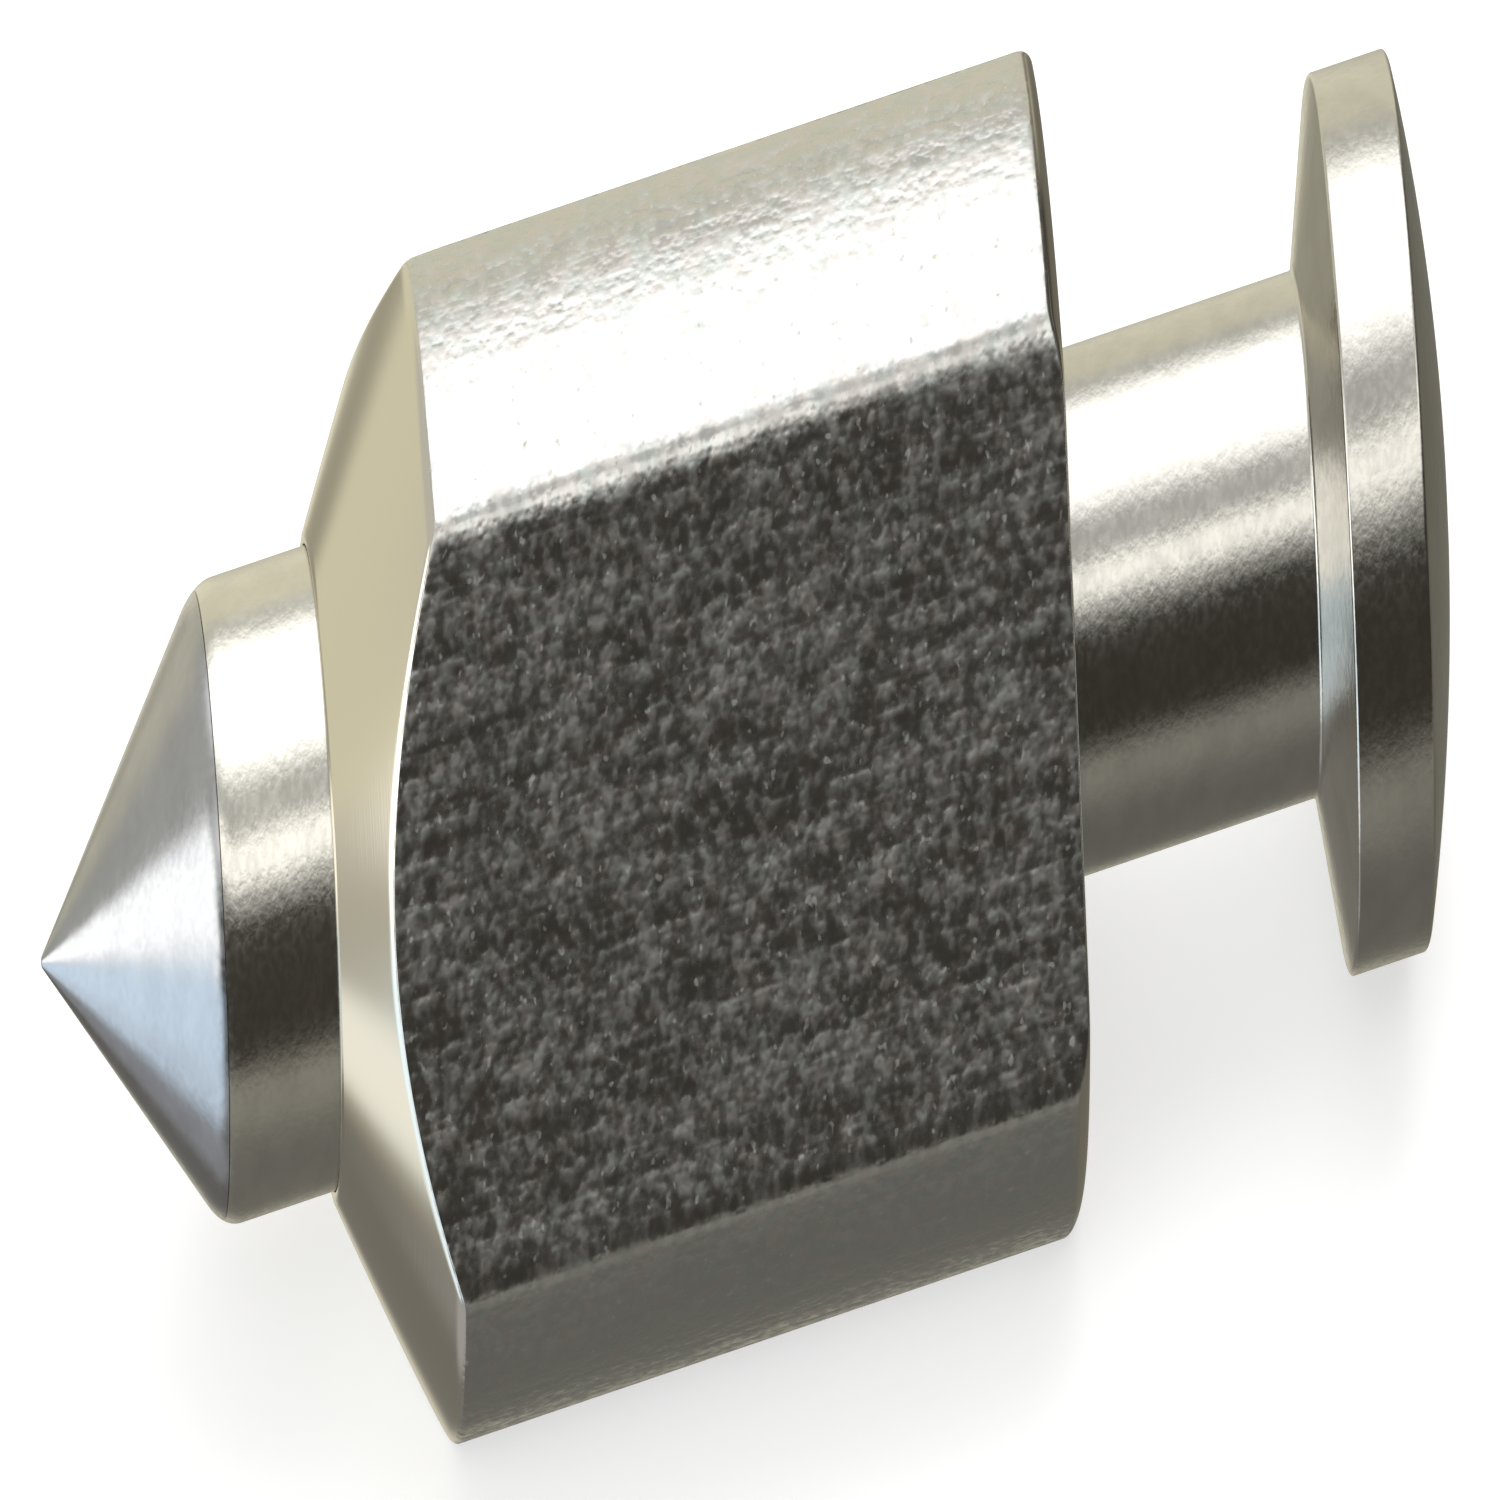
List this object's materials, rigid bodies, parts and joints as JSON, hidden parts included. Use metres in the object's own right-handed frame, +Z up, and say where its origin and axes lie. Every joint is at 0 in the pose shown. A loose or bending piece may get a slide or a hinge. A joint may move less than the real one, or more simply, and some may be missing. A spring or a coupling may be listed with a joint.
{
  "type": "live center",
  "caption": "Revolving center: steep point and nose on ball and thrust bearings in a three-flat housing with rounded corners and a conical shoulder, and a necked pull stud with a button.",
  "frame": {"origin": "the apex of the point, on the turning axis", "axes": "+X along the turning axis from the point towards the pull stud, +Z up with the housing lying on one of its three flats"},
  "size_m": [0.1129, 0.0366, 0.0329],
  "materials": {
    "drawn_steel": "cold-drawn steel with fine lengthwise drawing lines, satin",
    "ground_point": "finely ground and hardened, bright, with faint rings",
    "turned_steel": "fine turned finish",
    "stud_steel": "fine turned finish",
    "plug_steel": "turned face with faint rings",
    "bearing_race": "ground bearing steel",
    "bearing_ball": "polished bearing steel",
    "brass_cage": "pressed brass",
    "spring_steel": "phosphated spring steel",
    "black_oxide_steel": "blackened steel",
    "black_rubber": "matt nitrile rubber"
  },
  "bodies": {
    "housing": {"housing": "drawn_steel", "front_seal": "black_rubber", "front_bearing_outer_ring": "bearing_race", "housing_snap_ring": "spring_steel", "thrust_housing_washer": "bearing_race", "disc_spring_front": "spring_steel", "disc_spring_rear": "spring_steel", "spacer_sleeve": "turned_steel", "rear_bearing_outer_ring": "bearing_race", "rear_plug": "plug_steel", "plug_o_ring": "black_rubber", "pull_stud": "stud_steel"},
    "spindle": {"point_tip": "ground_point", "spindle": "turned_steel", "front_bearing_inner_ring": "bearing_race", "spindle_snap_ring": "spring_steel", "thrust_shaft_washer": "bearing_race", "rear_bearing_inner_ring": "bearing_race", "tab_washer": "spring_steel", "lock_nut": "black_oxide_steel"},
    "front_cage": {"front_bearing_balls": "bearing_ball", "front_bearing_cage": "brass_cage"},
    "thrust_cage": {"thrust_balls": "bearing_ball", "thrust_cage": "brass_cage"},
    "rear_cage": {"rear_bearing_balls": "bearing_ball", "rear_bearing_cage": "brass_cage"}
  },
  "joints": [
    {"name": "spindle_spin", "type": "hinge", "parent": "housing", "child": "spindle", "pos_m": [0.01374, 0, 0], "axis": [1, 0, 0], "continuous": true},
    {"name": "front_cage_orbit", "type": "hinge", "parent": "housing", "child": "front_cage", "pos_m": [0.03154, 0, 0], "axis": [1, 0, 0], "continuous": true},
    {"name": "thrust_cage_orbit", "type": "hinge", "parent": "housing", "child": "thrust_cage", "pos_m": [0.04304, 0, 0], "axis": [1, 0, 0], "continuous": true},
    {"name": "rear_cage_orbit", "type": "hinge", "parent": "housing", "child": "rear_cage", "pos_m": [0.06104, 0, 0], "axis": [1, 0, 0], "continuous": true}
  ],
  "couplings": [
    {"joint": "front_cage_orbit", "follows": "spindle_spin", "ratio": 0.4028},
    {"joint": "thrust_cage_orbit", "follows": "spindle_spin", "ratio": 0.5},
    {"joint": "rear_cage_orbit", "follows": "spindle_spin", "ratio": 0.4008}
  ]
}
